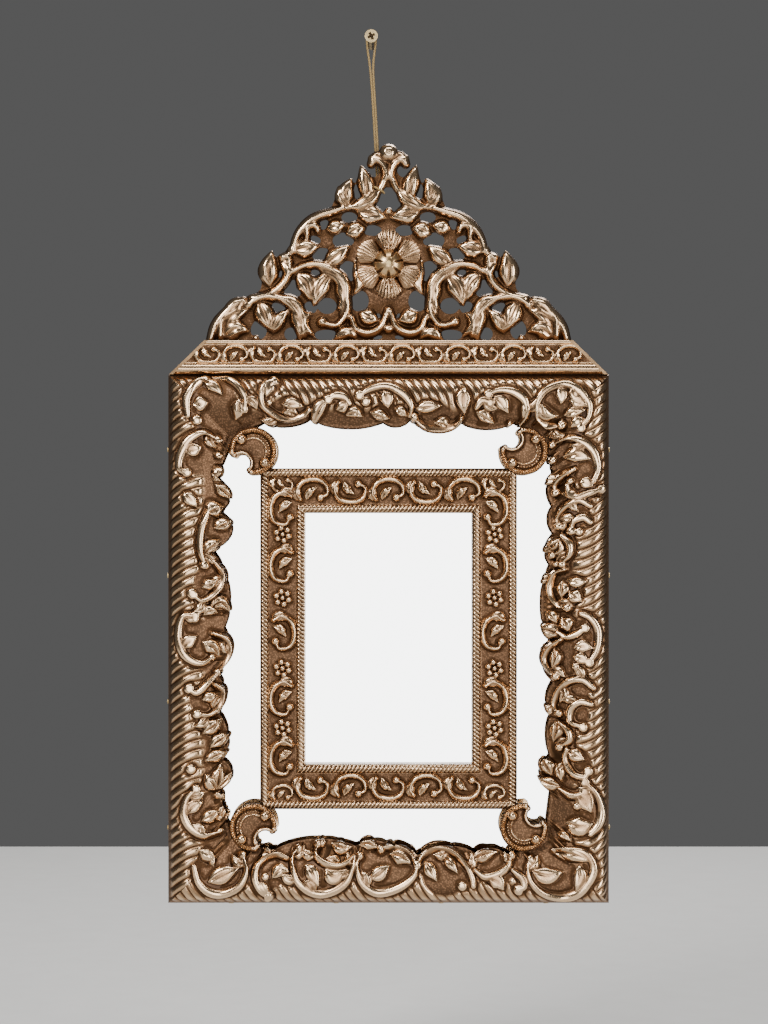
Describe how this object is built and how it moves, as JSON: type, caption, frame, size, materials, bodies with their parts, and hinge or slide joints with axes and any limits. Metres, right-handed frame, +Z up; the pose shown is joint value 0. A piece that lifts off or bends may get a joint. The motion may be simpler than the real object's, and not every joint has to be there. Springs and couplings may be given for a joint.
{
  "type": "wall mirror",
  "caption": "Cushion-framed wall mirror of embossed metal over wood, with margin glasses, an inner frame and a pierced crest, hung by a twine loop on a wall screw.",
  "frame": {"origin": "where the axis of the wall screw meets the wall's face, the plane of the mirror's back", "axes": "+Z up, +X to the right as seen from the front, +Y into the wall; the front faces -Y"},
  "size_m": [0.2528, 0.0526, 0.5004],
  "materials": {
    "wood": "plain",
    "board": "plain",
    "embossed_sheet": "silvered, worn",
    "mirror_glass": "silvered",
    "steel": "dull",
    "brass_pins": "worn",
    "twine": "twisted"
  },
  "bodies": {
    "wall_screw": {"hanging_screw": "steel"},
    "hanging_cord": {"cord_loop": "twine", "cord_hitch": "twine", "cord_knot": "twine"},
    "mirror": {"frame_top": "wood", "frame_right": "wood", "frame_bottom": "wood", "frame_left": "wood", "slip_top": "wood", "slip_right": "wood", "slip_bottom": "wood", "slip_left": "wood", "crest_rail": "wood", "crest_dowels": "wood", "back_board": "board", "cover_top": "embossed_sheet", "cover_right": "embossed_sheet", "cover_bottom": "embossed_sheet", "cover_left": "embossed_sheet", "slip_cover_top": "embossed_sheet", "slip_cover_right": "embossed_sheet", "slip_cover_bottom": "embossed_sheet", "slip_cover_left": "embossed_sheet", "corner_top_left": "embossed_sheet", "corner_top_right": "embossed_sheet", "corner_bottom_right": "embossed_sheet", "corner_bottom_left": "embossed_sheet", "frieze_cover": "embossed_sheet", "crest_end_left": "embossed_sheet", "crest_end_right": "embossed_sheet", "crest_panel": "embossed_sheet", "rosette": "embossed_sheet", "rosette_boss": "embossed_sheet", "glass_top": "mirror_glass", "glass_right": "mirror_glass", "glass_bottom": "mirror_glass", "glass_left": "mirror_glass", "glass_centre": "mirror_glass", "board_pins": "steel", "slip_screws": "steel", "skirt_pins": "brass_pins", "rosette_pin": "brass_pins"}
  },
  "joints": [
    {"name": "cord_swing", "type": "hinge", "parent": "wall_screw", "child": "hanging_cord", "pos_m": [0, -0.0032, 0], "axis": [0, 1, 0], "range_deg": [-20, 20]},
    {"name": "mirror_swing", "type": "hinge", "parent": "hanging_cord", "child": "mirror", "pos_m": [0.0042, -0.008, -0.0884], "axis": [0, 1, 0], "range_deg": [-12, 12]}
  ]
}
